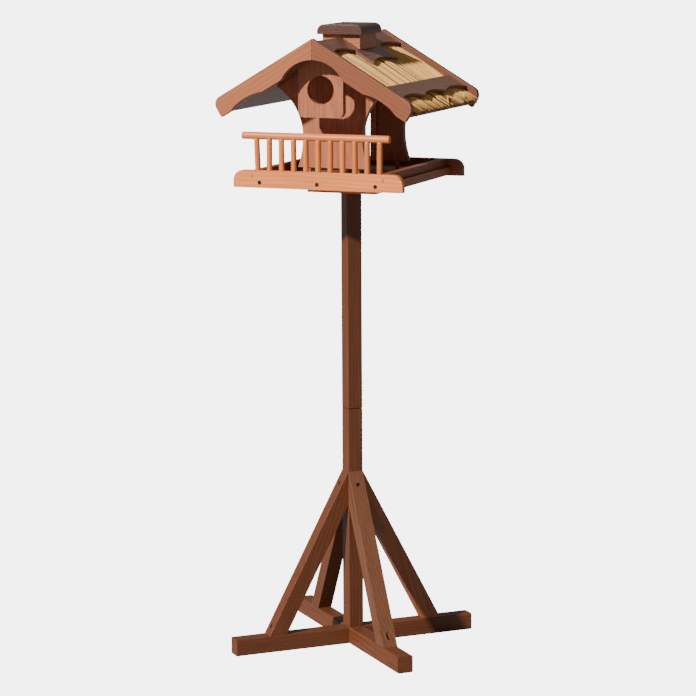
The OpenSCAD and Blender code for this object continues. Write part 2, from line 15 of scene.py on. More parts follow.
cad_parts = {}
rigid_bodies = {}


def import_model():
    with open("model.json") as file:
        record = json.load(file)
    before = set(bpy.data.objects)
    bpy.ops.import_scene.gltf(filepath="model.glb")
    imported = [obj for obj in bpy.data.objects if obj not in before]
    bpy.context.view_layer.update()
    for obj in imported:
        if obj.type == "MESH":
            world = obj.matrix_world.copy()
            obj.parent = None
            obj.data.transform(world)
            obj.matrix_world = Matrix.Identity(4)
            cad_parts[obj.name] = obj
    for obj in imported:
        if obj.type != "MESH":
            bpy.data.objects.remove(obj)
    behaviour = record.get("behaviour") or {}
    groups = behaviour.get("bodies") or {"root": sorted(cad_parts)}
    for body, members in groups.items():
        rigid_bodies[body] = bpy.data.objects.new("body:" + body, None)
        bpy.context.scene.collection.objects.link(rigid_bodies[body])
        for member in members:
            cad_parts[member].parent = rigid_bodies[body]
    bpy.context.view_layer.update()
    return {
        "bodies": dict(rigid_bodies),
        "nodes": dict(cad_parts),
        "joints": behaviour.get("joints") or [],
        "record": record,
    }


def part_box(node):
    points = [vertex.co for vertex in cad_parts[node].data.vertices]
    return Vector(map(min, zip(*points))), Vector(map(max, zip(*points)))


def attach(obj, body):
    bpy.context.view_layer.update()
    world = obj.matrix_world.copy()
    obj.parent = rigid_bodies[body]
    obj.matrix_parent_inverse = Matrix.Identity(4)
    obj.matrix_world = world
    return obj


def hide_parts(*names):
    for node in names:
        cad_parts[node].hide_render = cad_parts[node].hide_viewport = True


logging.basicConfig(level=logging.INFO, format="%(levelname)s %(name)s: %(message)s")
log = logging.getLogger("feeder")

MM = 0.001
GRAIN = "grain"
TONE_AND_SHADE = "tone"
JOINT_BAND = 0.5 * MM
POLE_BORE_REACH = 14.0 * MM
PITCH = math.radians(30.5)
STAND_TURN = math.radians(45.0)
RGB = tuple[float, float, float]


class Body(Enum):
    """The two rigid bodies of the feeder."""

    STAND = "stand"
    HOUSE = "house"


class Side(Enum):
    """Left or right half of the house, seen from the front."""

    LEFT = -1
    RIGHT = 1

    @property
    def word(self) -> str:
        """The side's word in node names."""
        return self.name.lower()

    @property
    def down_slope(self) -> Vector:
        """Unit vector from the ridge down this side's slope."""
        return Vector((self.value * math.cos(PITCH), 0.0, -math.sin(PITCH)))

    @property
    def out_of_slope(self) -> Vector:
        """Unit vector that stands out of this side's slope."""
        return Vector((self.value * math.sin(PITCH), 0.0, math.cos(PITCH)))


# ---------------------------------------------------------------- shader tools


class Sheet:
    """Thin helper that adds nodes to one node tree and links them."""

    def __init__(self, tree: bpy.types.NodeTree) -> None:
        """Keeps the tree.

        Args:
            tree: the node tree to add to.
        """
        self.tree = tree

    def add(self, kind: str, **settings: object) -> bpy.types.Node:
        """Adds a node and sets its properties.

        Args:
            kind: the node's type name after "ShaderNode".
            settings: property values by name.

        Returns:
            The new node.
        """
        prefix = "Node" if kind in ("GroupInput", "GroupOutput") else "ShaderNode"
        node = self.tree.nodes.new(prefix + kind)
        for name, value in settings.items():
            setattr(node, name, value)
        return node

    def feed(self, socket: bpy.types.NodeSocket, value: object) -> None:
        """Links a socket to another, or sets its constant.

        Args:
            socket: the input socket.
            value: an output socket or a constant.
        """
        if isinstance(value, bpy.types.NodeSocket):
            self.tree.links.new(value, socket)
        else:
            socket.default_value = value

    def math(self, how: str, a: object, b: object = 0.0, clamp: bool = False) -> bpy.types.NodeSocket:
        """Adds a Math node.

        Args:
            how: its operation.
            a: the first value.
            b: the second value.
            clamp: keeps the result from 0 to 1.

        Returns:
            The result's socket.
        """
        node = self.add("Math", operation=how, use_clamp=clamp)
        self.feed(node.inputs[0], a)
        self.feed(node.inputs[1], b)
        return node.outputs[0]

    def spread(self, value: object, low: float, high: float, out_low: float = 0.0, out_high: float = 1.0,
               smooth: bool = False) -> bpy.types.NodeSocket:
        """Maps a value from one range to another, clamped.

        Args:
            value: the value to map.
            low: the start of its range.
            high: the end of its range.
            out_low: the result at low.
            out_high: the result at high.
            smooth: eases both ends.

        Returns:
            The result's socket.
        """
        node = self.add("MapRange", interpolation_type="SMOOTHSTEP" if smooth else "LINEAR")
        for index, item in enumerate((value, low, high, out_low, out_high)):
            self.feed(node.inputs[index], item)
        return node.outputs[0]

    def scaled(self, vector: object, scale: RGB) -> bpy.types.NodeSocket:
        """Multiplies a vector by another, part by part.

        Args:
            vector: the vector.
            scale: the factors.

        Returns:
            The result's socket.
        """
        node = self.add("VectorMath", operation="MULTIPLY")
        self.feed(node.inputs[0], vector)
        self.feed(node.inputs[1], scale)
        return node.outputs[0]

    def noise(self, vector: object, scale: float, detail: float = 2.0,
              rough: float = 0.5) -> bpy.types.NodeSocket:
        """Adds a Noise Texture.

        Args:
            vector: its coordinates.
            scale: its scale.
            detail: its octaves.
            rough: its roughness.

        Returns:
            The value's socket.
        """
        node = self.add("TexNoise")
        self.feed(node.inputs["Vector"], vector)
        node.inputs["Scale"].default_value = scale
        node.inputs["Detail"].default_value = detail
        node.inputs["Roughness"].default_value = rough
        return node.outputs[0]

    def mix(self, factor: object, a: object, b: object, how: str = "MIX") -> bpy.types.NodeSocket:
        """Mixes two colours.

        Args:
            factor: the share of b.
            a: the first colour.
            b: the second colour.
            how: the blend type.

        Returns:
            The result's socket.
        """
        node = self.add("Mix", data_type="RGBA", blend_type=how)
        self.feed(node.inputs[0], factor)
        self.feed(node.inputs[6], a if isinstance(a, bpy.types.NodeSocket) else (*a, 1.0))
        self.feed(node.inputs[7], b if isinstance(b, bpy.types.NodeSocket) else (*b, 1.0))
        return node.outputs[2]


def new_group(name: str, inputs: dict[str, str], outputs: dict[str, str]) -> tuple[bpy.types.NodeTree, Sheet]:
    """Makes an empty shader group with its sockets.

    Args:
        name: the group's name.
        inputs: socket type by input name.
        outputs: socket type by output name.

    Returns:
        The group and a Sheet on it.
    """
    group = bpy.data.node_groups.new(name, "ShaderNodeTree")
    for label, kind in inputs.items():
        group.interface.new_socket(label, in_out="INPUT", socket_type="NodeSocket" + kind)
    for label, kind in outputs.items():
        group.interface.new_socket(label, in_out="OUTPUT", socket_type="NodeSocket" + kind)
    return group, Sheet(group)


class Figure:
    """Shader groups that more than one finish uses, each built once."""

    def __init__(self) -> None:
        """Builds the groups."""
        self.wood = self._wood()
        self.weather = self._weather()

    @staticmethod
    def _wood() -> bpy.types.NodeTree:
        """Builds the softwood figure: year rings, streaks, fibres and knots.

        Returns:
            The group. X of its coordinates runs along the grain.
        """
        group, s = new_group(
            "softwood_figure",
            {"Coordinates": "Vector", "Ring Scale": "Float", "Knots": "Float"},
            {"Rings": "Float", "Streaks": "Float", "Fibres": "Float", "Knot": "Float", "Height": "Float"},
        )
        source = s.add("GroupInput")
        place = source.outputs["Coordinates"]
        # Slow drift of the rings along and across the board
        drift = s.add("TexNoise")
        s.feed(drift.inputs["Vector"], s.scaled(place, (2.2, 9.0, 9.0)))
        drift.inputs["Scale"].default_value = 1.0
        drift.inputs["Detail"].default_value = 3.0
        shift = s.add("VectorMath", operation="MULTIPLY_ADD")
        s.feed(shift.inputs[0], drift.outputs["Color"])
        shift.inputs[1].default_value = (0.0, 0.034, 0.034)
        s.feed(shift.inputs[2], place)
        # Knots: rare cells, drawn round on the board's face
        cells = s.add("TexVoronoi")
        s.feed(cells.inputs["Vector"], s.scaled(place, (6.5, 6.5, 0.6)))
        cells.inputs["Scale"].default_value = 1.0
        chosen = s.add("SeparateColor")
        s.feed(chosen.inputs[0], cells.outputs["Color"])
        wobble = s.math("MULTIPLY", s.noise(place, 90.0, 2.0), 0.03)
        reach = s.math("ADD", cells.outputs["Distance"], wobble)
        present = s.math("LESS_THAN", chosen.outputs[0], source.outputs["Knots"])
        knot = s.math("MULTIPLY", s.spread(reach, 0.035, 0.075, 1.0, 0.0, True), present)
        halo = s.math("MULTIPLY", s.spread(reach, 0.04, 0.22, 1.0, 0.0, True), present)
        # Year rings bend round a knot
        rings = s.add("TexWave", wave_type="RINGS", rings_direction="X", wave_profile="SAW")
        s.feed(rings.inputs["Vector"], shift.outputs[0])
        s.feed(rings.inputs["Scale"], source.outputs["Ring Scale"])
        s.feed(rings.inputs["Phase Offset"], s.math("MULTIPLY", halo, 9.0))
        rings.inputs["Distortion"].default_value = 1.4
        rings.inputs["Detail"].default_value = 2.0
        rings.inputs["Detail Scale"].default_value = 0.35
        late = s.spread(rings.outputs["Fac"], 0.35, 0.95, 0.0, 1.0, True)
        long_noise = s.noise(s.scaled(place, (7.0, 230.0, 230.0)), 1.0, 3.0, 0.6)
        streaks = s.spread(long_noise, 0.33, 0.68, 0.0, 1.0, True)
        fibres = s.noise(s.scaled(place, (22.0, 1500.0, 1500.0)), 1.0, 2.0, 0.6)
        height = s.math("ADD", s.math("MULTIPLY", late, 0.45), s.math("MULTIPLY", fibres, 0.7))
        height = s.math("SUBTRACT", height, s.math("MULTIPLY", knot, 0.5))
        out = s.add("GroupOutput")
        for label, value in (("Rings", late), ("Streaks", streaks), ("Fibres", fibres), ("Knot", knot),
                             ("Height", height)):
            s.feed(out.inputs[label], value)
        return group

    @staticmethod
    def _weather() -> bpy.types.NodeTree:
        """Builds slow patches of stain and a fine speckle of dust.

        Returns:
            The group.
        """
        group, s = new_group(
            "stain_and_dust", {"Coordinates": "Vector"}, {"Patches": "Float", "Speckle": "Float"})
        source = s.add("GroupInput")
        place = source.outputs["Coordinates"]
        slow_noise = s.noise(s.scaled(place, (6.0, 26.0, 26.0)), 1.0, 3.0, 0.6)
        patches = s.spread(slow_noise, 0.3, 0.7, 0.0, 1.0, True)
        speckle = s.spread(s.noise(place, 620.0, 3.0, 0.7), 0.56, 0.72)
        out = s.add("GroupOutput")
        s.feed(out.inputs["Patches"], patches)
        s.feed(out.inputs["Speckle"], speckle)
        return group


def principled(name: str) -> tuple[bpy.types.Material, Sheet, bpy.types.Node]:
    """Makes a material with one Principled shader.

    Args:
        name: the material's name.

    Returns:
        The material, a Sheet on its tree, and the shader.
    """
    material = bpy.data.materials.new(name)
    material.use_nodes = True
    material.node_tree.nodes.clear()
    s = Sheet(material.node_tree)
    shader = s.add("BsdfPrincipled")
    out = s.add("OutputMaterial")
    s.feed(out.inputs["Surface"], shader.outputs[0])
    return material, s, shader


@dataclass(frozen=True)
class StainedWood:
    """Softwood under a translucent satin glaze."""

    name: str
    slot: str
    early: RGB
    late: RGB
    knot: RGB = (0.055, 0.022, 0.012)
    ring_mm: float = 5.0
    ring_depth: float = 0.5
    streak_depth: float = 0.28
    patch_depth: float = 0.22
    knots: float = 0.12
    gloss: float = 0.46
    bump_mm: float = 0.35
    dust: float = 0.05

    def material(self, figure: Figure) -> bpy.types.Material:
        """Builds the material.

        Args:
            figure: the shared shader groups.

        Returns:
            The material.
        """
        material, s, shader = principled(self.name)
        place = s.add("Attribute", attribute_name=GRAIN).outputs["Vector"]
        wood = s.add("Group", node_tree=figure.wood)
        s.feed(wood.inputs["Coordinates"], place)
        wood.inputs["Ring Scale"].default_value = 2.0 * math.pi / 20.0 / (self.ring_mm * MM)
        wood.inputs["Knots"].default_value = self.knots
        weather = s.add("Group", node_tree=figure.weather)
        s.feed(weather.inputs["Coordinates"], place)
        colour = s.mix(s.math("MULTIPLY", wood.outputs["Rings"], self.ring_depth), self.early, self.late)
        streak = s.math("MULTIPLY", wood.outputs["Streaks"], self.streak_depth)
        colour = s.mix(streak, colour, tuple(0.62 * c for c in self.late))
        patch = s.math("MULTIPLY", weather.outputs["Patches"], self.patch_depth)
        colour = s.mix(patch, colour, tuple(min(1.0, 1.25 * c) for c in self.early))
        colour = s.mix(wood.outputs["Knot"], colour, self.knot)
        # Low tone darkens a board: tone that differs from board to board, and painted shade on the right
        # bargeboards
        tone = s.add("Attribute", attribute_name=TONE_AND_SHADE).outputs["Fac"]
        colour = s.mix(s.spread(tone, 0.0, 1.0, 0.75, 0.0), colour, tuple(0.25 * c for c in self.late))
        colour = s.mix(s.math("MULTIPLY", weather.outputs["Speckle"], self.dust), colour, (0.62, 0.56, 0.50))
        s.feed(shader.inputs["Base Color"], colour)
        rough = s.math("ADD", s.math("MULTIPLY", wood.outputs["Fibres"], 0.18), self.gloss - 0.09)
        s.feed(shader.inputs["Roughness"], rough)
        shader.inputs["Specular IOR Level"].default_value = 0.42
        bump = s.add("Bump")
        bump.inputs["Distance"].default_value = self.bump_mm * MM
        bump.inputs["Strength"].default_value = 0.6
        s.feed(bump.inputs["Height"], wood.outputs["Height"])
        s.feed(shader.inputs["Normal"], bump.outputs[0])
        return material


@dataclass(frozen=True)
class DryReed:
    """Dry reed stalks, each with its own tone, darker towards its cut end."""

    name: str
    slot: str = "reed"
    pale: RGB = (1.00, 0.56, 0.15)
    tan: RGB = (0.58, 0.245, 0.045)
    old: RGB = (0.14, 0.062, 0.016)

    def material(self, figure: Figure) -> bpy.types.Material:
        """Builds the material.

        Args:
            figure: the shared shader groups.

        Returns:
            The material.
        """
        material, s, shader = principled(self.name)
        place = s.add("Attribute", attribute_name=GRAIN).outputs["Vector"]
        tone = s.add("Attribute", attribute_name=TONE_AND_SHADE).outputs["Fac"]
        weather = s.add("Group", node_tree=figure.weather)
        s.feed(weather.inputs["Coordinates"], place)
        fibre = s.noise(s.scaled(place, (18.0, 1400.0, 1400.0)), 1.0, 2.0, 0.6)
        colour = s.mix(s.spread(tone, 0.0, 0.62, 1.0, 0.0), self.pale, self.tan)
        # Low tone turns a stalk dark: weathered stalks, and painted shade on the bed and the lower layers
        colour = s.mix(s.spread(tone, 0.10, 0.22, 0.85, 0.0), colour, self.old)
        colour = s.mix(s.spread(fibre, 0.42, 0.75, 0.0, 0.45), colour, self.tan)
        colour = s.mix(s.math("MULTIPLY", weather.outputs["Patches"], 0.25), colour, self.old)
        s.feed(shader.inputs["Base Color"], colour)
        s.feed(shader.inputs["Roughness"], s.spread(fibre, 0.2, 0.8, 0.48, 0.7))
        bump = s.add("Bump")
        bump.inputs["Distance"].default_value = 0.25 * MM
        s.feed(bump.inputs["Height"], fibre)
        s.feed(shader.inputs["Normal"], bump.outputs[0])
        return material


@dataclass(frozen=True)
class ZincSteel:
    """Zinc-plated steel, dulled by handling."""

    name: str
    slot: str = "steel"
    bright: RGB = (0.46, 0.44, 0.42)
    dull: RGB = (0.20, 0.17, 0.15)

    def material(self, figure: Figure) -> bpy.types.Material:
        """Builds the material.

        Args:
            figure: the shared shader groups, which steel has no use for.

        Returns:
            The material.
        """
        material, s, shader = principled(self.name)
        place = s.add("TexCoord").outputs["Object"]
        mottle = s.noise(place, 420.0, 4.0, 0.65)
        s.feed(shader.inputs["Base Color"], s.mix(s.spread(mottle, 0.35, 0.7), self.bright, self.dull))
        s.feed(shader.inputs["Roughness"], s.spread(mottle, 0.3, 0.75, 0.32, 0.6))
        shader.inputs["Metallic"].default_value = 1.0
        bump = s.add("Bump")
        bump.inputs["Distance"].default_value = 0.1 * MM
        s.feed(bump.inputs["Height"], mottle)
        s.feed(shader.inputs["Normal"], bump.outputs[0])
        return material


class Finishes:
    """Every finish of the feeder, built once."""

    def __init__(self) -> None:
        """Builds the groups and the materials."""
        figure = Figure()
        self.stand = StainedWood("stand_softwood", "stand_wood", (0.152, 0.043, 0.0140),
                                 (0.072, 0.0172, 0.0050), knots=0.20, ring_mm=6.0)
        self.stand_arris = StainedWood("stand_softwood_arris", "stand_wood", (0.200, 0.066, 0.028),
                                       (0.100, 0.028, 0.011), ring_mm=6.0, dust=0.12)
        self.brace = StainedWood("brace_softwood", "stand_wood", (0.180, 0.066, 0.029), (0.088, 0.027, 0.011),
                                 knots=0.14, ring_mm=6.0, dust=0.08)
        # A paler copy of the brace wood for the right brace, which faces away from the key light: painted
        # fill light
        self.brace_pale = StainedWood("brace_softwood_pale", "stand_wood", (0.360, 0.110, 0.038),
                                      (0.190, 0.050, 0.016), knots=0.14, ring_mm=6.0, dust=0.08)
        self.tray = StainedWood("tray_softwood", "house_wood", (0.920, 0.262, 0.060), (0.700, 0.155, 0.030),
                                ring_mm=6.5, ring_depth=0.62, streak_depth=0.36, knots=0.16)
        self.tray_arris = StainedWood("tray_softwood_arris", "house_wood", (0.900, 0.320, 0.110),
                                      (0.700, 0.200, 0.060), ring_mm=6.5, dust=0.1)
        self.house = StainedWood("house_softwood", "house_wood", (0.460, 0.135, 0.048), (0.300, 0.075, 0.023),
                                 ring_mm=5.5, knots=0.10)
        self.house_arris = StainedWood("house_softwood_arris", "house_wood", (0.540, 0.180, 0.075),
                                       (0.370, 0.105, 0.038), ring_mm=5.5, dust=0.12)
        self.wall = StainedWood("wall_softwood", "wall_wood", (0.480, 0.155, 0.064), (0.270, 0.072, 0.025),
                                ring_mm=6.5, streak_depth=0.42, knots=0.08)
        self.wall_arris = StainedWood("wall_softwood_arris", "wall_wood", (0.540, 0.195, 0.085),
                                      (0.330, 0.098, 0.038), ring_mm=6.5, dust=0.12)
        self.trim = StainedWood("roof_softwood", "roof_wood", (0.215, 0.092, 0.060), (0.105, 0.039, 0.022),
                                ring_mm=5.0, gloss=0.36, dust=0.08)
        self.trim_arris = StainedWood("roof_softwood_arris", "roof_wood", (0.250, 0.115, 0.078),
                                      (0.110, 0.050, 0.032), ring_mm=5.0, gloss=0.36, dust=0.14)
        self.reed = DryReed("dry_reed")
        self.steel = ZincSteel("zinc_steel")
        self.aged = ZincSteel("aged_steel", bright=(0.075, 0.055, 0.045), dull=(0.028, 0.019, 0.015))
        self.made = {finish.name: finish.material(figure) for finish in vars(self).values()
                     if isinstance(finish, (StainedWood, DryReed, ZincSteel))}

    def of(self, finish: StainedWood | DryReed | ZincSteel) -> bpy.types.Material:
        """The built material of a finish."""
        return self.made[finish.name]


# ---------------------------------------------------------------- piece tools


def lay_matrix(along: Vector, face: Vector, seed: int, pith_mm: float = 60.0) -> Matrix:
    """Places one board in its log, so that its figure follows its own length.

    Args:
        along: the grain's direction.
        face: the direction out of the board's broad face.
        seed: picks the board's place in the log.
        pith_mm: distance from the log's middle.

    Returns:
        A matrix from the row frame to grain coordinates.
    """
    draw = random.Random(seed)
    a = along.normalized()
    width = face.cross(a).normalized()
    depth = a.cross(width)
    turn = Matrix((a, width, depth)).to_4x4()
    tilt = Matrix.Rotation(math.radians(draw.uniform(-1.6, 1.6)), 4, "Z")
    tilt = tilt @ Matrix.Rotation(math.radians(draw.uniform(-1.6, 1.6)), 4, "Y")
    angle = draw.uniform(0.35, 1.2)
    pith = Vector((draw.uniform(2.0, 9.0), pith_mm * MM * math.cos(angle), pith_mm * MM * math.sin(angle)))
    return Matrix.Translation(pith) @ tilt @ turn


def write_grain(bm: bmesh.types.BMesh, lay: Matrix, centre: Vector, tone: float = 1.0) -> None:
    """Stores each vertex's grain coordinates and the board's tone.

    Args:
        bm: the piece.
        lay: the matrix from lay_matrix.
        centre: the point of the piece that the figure is centred on.
        tone: from 0, a dark board, to 1, a light one; it differs from board to board, and on the right
            bargeboards it is painted shade.
    """
    tone_layer = bm.verts.layers.float.get(TONE_AND_SHADE) or bm.verts.layers.float.new(TONE_AND_SHADE)
    for vert in bm.verts:
        vert[tone_layer] = tone
    layer = bm.verts.layers.float_vector.get(GRAIN) or bm.verts.layers.float_vector.new(GRAIN)
    for vert in bm.verts:
        vert[layer] = lay @ (vert.co - centre)


def finish_piece(bm: bmesh.types.BMesh, name: str, body: Body, materials: Iterable[bpy.types.Material],
                 nodes: Iterable[str], even: bool = True) -> bpy.types.Object:
    """Turns a bmesh into a finished piece that rides on its body.

    Args:
        bm: the piece's mesh, which is freed.
        name: the piece's name.
        body: the body it rides on.
        materials: its materials, in slot order.
        nodes: the CAD nodes it stands for.
        even: weights its normals by face area.

    Returns:
        The piece.
    """
    mesh = bpy.data.meshes.new(name)
    bm.to_mesh(mesh)
    bm.free()
    mesh.shade_smooth()
    for material in materials:
        mesh.materials.append(material)
    piece = bpy.data.objects.new(name, mesh)
    bpy.context.scene.collection.objects.link(piece)
    if even:
        weighted = piece.modifiers.new("even_normals", "WEIGHTED_NORMAL")
        weighted.keep_sharp = False
        weighted.weight = 80
    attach(piece, body.value)
    nodes = tuple(nodes)
    if nodes:
        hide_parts(*nodes)
    log.info("%s: %d faces", name, len(mesh.polygons))
    return piece


def merged_copy(frame: dict, node: str) -> bmesh.types.BMesh:
    """Copies a CAD node's mesh with its loose triangles joined into whole faces.

    Args:
        frame: the loaded frame.
        node: the node's name.

    Returns:
        The copy.
    """
    bm = bmesh.new()
    bm.from_mesh(frame["nodes"][node].data)
    bmesh.ops.remove_doubles(bm, verts=bm.verts, dist=0.01 * MM)
    bmesh.ops.dissolve_limit(bm, angle_limit=math.radians(0.6), verts=bm.verts, edges=bm.edges,
                             use_dissolve_boundaries=False)
    return bm


def ease_edges(bm: bmesh.types.BMesh, ease: float, segments: int = 3, corner: float = 28.0) -> None:
    """Rounds over a piece's arrises as sanding does, and marks them as arris faces.

    Args:
        bm: the piece.
        ease: the rounding's width in metres.
        segments: faces across the rounding.
        corner: only edges sharper than this many degrees are eased.
    """
    edges = [e for e in bm.edges if len(e.link_faces) == 2 and e.calc_face_angle(0.0) > math.radians(corner)]
    made = bmesh.ops.bevel(bm, geom=edges, offset=ease, offset_type="OFFSET", segments=segments, profile=0.5,
                           affect="EDGES", clamp_overlap=True, material=-1)
    for face in made["faces"]:
        face.material_index = 1


def tube(bm: bmesh.types.BMesh, rings: Iterable[Iterable[Vector]]) -> list[bmesh.types.BMVert]:
    """Skins a closed tube over rings of points and caps both its ends.

    Args:
        bm: the mesh that the tube is added to.
        rings: rings of equally many points, each counterclockwise as seen from the last ring's side.

    Returns:
        The tube's vertices.
    """
    loops = [[bm.verts.new(point) for point in ring] for ring in rings]
    for lower, upper in zip(loops, loops[1:]):
        for k, vert in enumerate(lower):
            after = (k + 1) % len(lower)
            bm.faces.new((vert, lower[after], upper[after], upper[k]))
    bm.faces.new(list(reversed(loops[0])))
    bm.faces.new(loops[-1])
    return [vert for loop in loops for vert in loop]


@dataclass
class Board:
    """One wooden board with eased edges and its own place in the log."""

    node: str
    body: Body
    along: Vector
    face: Vector
    ease_mm: float = 1.3
    pith_mm: float = 60.0
    tone: float = 1.0
    joint_z: float | None = None
    joint_ease_mm: float = 2.0

    def _ease_joint(self, bm: bmesh.types.BMesh) -> None:
        """Chamfers the pole's end round its joint.

        Args:
            bm: the piece, upright on the Z axis.
        """
        size = self.joint_ease_mm * MM
        for side in (-1.0, 1.0):
            bmesh.ops.bisect_plane(bm, geom=[*bm.verts, *bm.edges, *bm.faces], dist=1e-6,
                                   plane_co=(0.0, 0.0, self.joint_z + side * size), plane_no=Z)
        for vert in bm.verts:
            out = math.hypot(vert.co.x, vert.co.y)
            if abs(vert.co.z - self.joint_z) < JOINT_BAND and out > POLE_BORE_REACH:
                vert.co.x *= 1.0 - size / out
                vert.co.y *= 1.0 - size / out

    def build(self, frame: dict, finishes: Finishes, wood: StainedWood,
              arris: StainedWood) -> bpy.types.Object:
        """Makes the piece.

        Args:
            frame: the loaded frame.
            finishes: the built finishes.
            wood: the finish of its faces.
            arris: the finish of its eased edges.

        Returns:
            The piece.
        """
        bm = merged_copy(frame, self.node)
        ease_edges(bm, self.ease_mm * MM)
        if self.joint_z is not None:
            self._ease_joint(bm)
        low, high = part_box(self.node)
        centre = (Vector(low) + Vector(high)) / 2.0
        seed = sum(ord(c) * (i + 3) for i, c in enumerate(self.node))
        tone = self.tone - 0.10 * random.Random(seed).random()
        write_grain(bm, lay_matrix(self.along, self.face, seed, self.pith_mm), centre, tone)
        if self.joint_z is not None:
            layer = bm.verts.layers.float[TONE_AND_SHADE]
            for vert in bm.verts:
                if abs(vert.co.z - self.joint_z) < JOINT_BAND:
                    vert[layer] = 0.0
        return finish_piece(bm, self.node + "_wood", self.body, (finishes.of(wood), finishes.of(arris)),
                            (self.node,))


X = Vector((1.0, 0.0, 0.0))
Y = Vector((0.0, 1.0, 0.0))
Z = Vector((0.0, 0.0, 1.0))


def arm_direction(turn: float) -> Vector:
    """Unit vector along a foot arm, turned from the foot cross's own X axis."""
    return Matrix.Rotation(STAND_TURN + math.radians(turn), 3, "Z") @ X


@dataclass
class Stand:
    """Foot cross, braces and pole."""

    body: Body = Body.STAND
    brace_turns: dict[str, float] = field(
        default_factory=lambda: {"front": -90.0, "right": 0.0, "back": 90.0, "left": 180.0})

    def build(self, frame: dict, finishes: Finishes) -> None:
        """Makes every wooden piece of the stand.

        Args:
            frame: the loaded frame.
            finishes: the built finishes.
        """
        wood = (finishes.stand, finishes.stand_arris)
        Board("foot_beam_long", self.body, arm_direction(90.0), Z, 1.0).build(frame, finishes, *wood)
        Board("foot_beam_cross", self.body, arm_direction(0.0), Z, 1.0).build(frame, finishes, *wood)
        for node in ("lower_pole", "upper_pole"):
            Board(node, self.body, Z, arm_direction(-90.0), 1.0, 45.0,
                  joint_z=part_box("lower_pole")[1][2]).build(frame, finishes, *wood)
        foot_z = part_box("foot_beam_long")[1][2]
        for word, turn in self.brace_turns.items():
            node = "brace_" + word
            low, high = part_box(node)
            run = math.hypot(high[0] - low[0], high[1] - low[1])
            outwards = arm_direction(turn)
            along = (outwards * run * 0.55 - Z * (high[2] - foot_z)).normalized()
            # The right brace takes the paler copy: painted fill light on its shaded faces
            finish = {"front": finishes.brace, "right": finishes.brace_pale}.get(word, finishes.stand)
            Board(node, self.body, along, outwards.cross(Z), 1.4, 70.0).build(
                frame, finishes, finish, finishes.stand_arris)


@dataclass
class Tray:
    """Mounting plate, floor, boards and rims."""

    body: Body = Body.HOUSE

    def build(self, frame: dict, finishes: Finishes) -> None:
        """Makes every wooden piece of the tray.

        Args:
            frame: the loaded frame.
            finishes: the built finishes.
        """
        wood = (finishes.tray, finishes.tray_arris)
        dark = (finishes.house, finishes.house_arris)
        Board("mount_plate", self.body, X, Z, 1.5).build(frame, finishes, *wood)
        Board("tray_floor", self.body, Y, Z, 1.0, 90.0, 0.5).build(frame, finishes, *dark)
        Board("tray_front_board", self.body, X, -Y, 1.5, 55.0).build(frame, finishes, *wood)
        Board("tray_back_board", self.body, X, -Y, 1.5, 55.0, 0.42).build(frame, finishes, *dark)
        for side in Side:
            Board(f"tray_rim_{side.word}", self.body, Y, Z, 1.2, 60.0, 0.5).build(frame, finishes, *dark)


